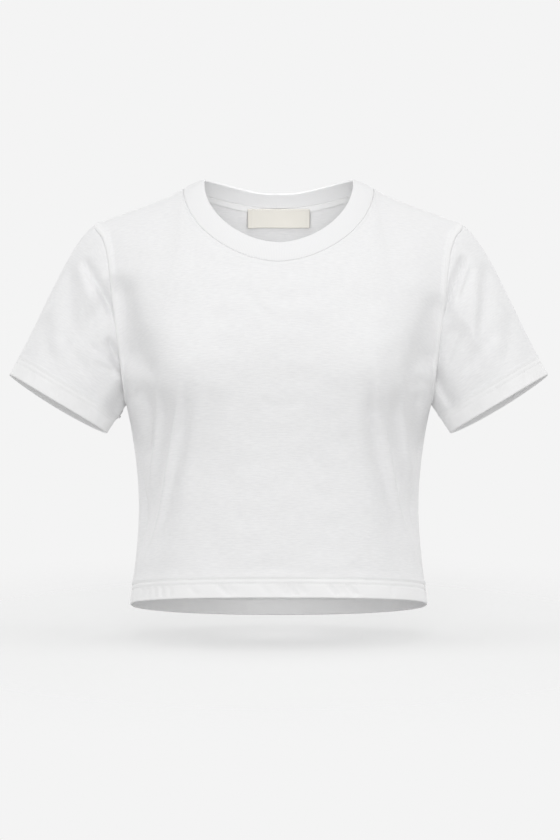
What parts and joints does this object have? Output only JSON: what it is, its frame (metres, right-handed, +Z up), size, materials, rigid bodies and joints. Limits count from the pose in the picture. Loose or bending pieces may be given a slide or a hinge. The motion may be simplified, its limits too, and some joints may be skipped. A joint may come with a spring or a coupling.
{
  "type": "crop top",
  "caption": "Cropped crew-neck T-shirt with short set-in sleeves, filled out as worn, with no wearer inside.",
  "frame": {"origin": "midway between the two points where the shoulder seams meet the neckband, at the height of those points; the wearer's shoulders carry the shirt there", "axes": "+X towards the wearer's left, across the sleeves; -Y towards the front; +Z up"},
  "size_m": [0.5748, 0.2238, 0.4655],
  "materials": {
    "jersey": "matt white cotton single jersey",
    "rib": "matt white cotton 1x1 rib",
    "neck_tape": "matt white jersey tape with two rows of topstitching",
    "woven_label": "cream satin-woven label with no text"
  },
  "bodies": {
    "root": {"front_panel": "jersey", "back_panel": "jersey", "sleeve_left": "jersey", "sleeve_right": "jersey", "neckband": "rib", "back_neck_tape": "neck_tape", "neck_label": "woven_label"}
  },
  "joints": []
}
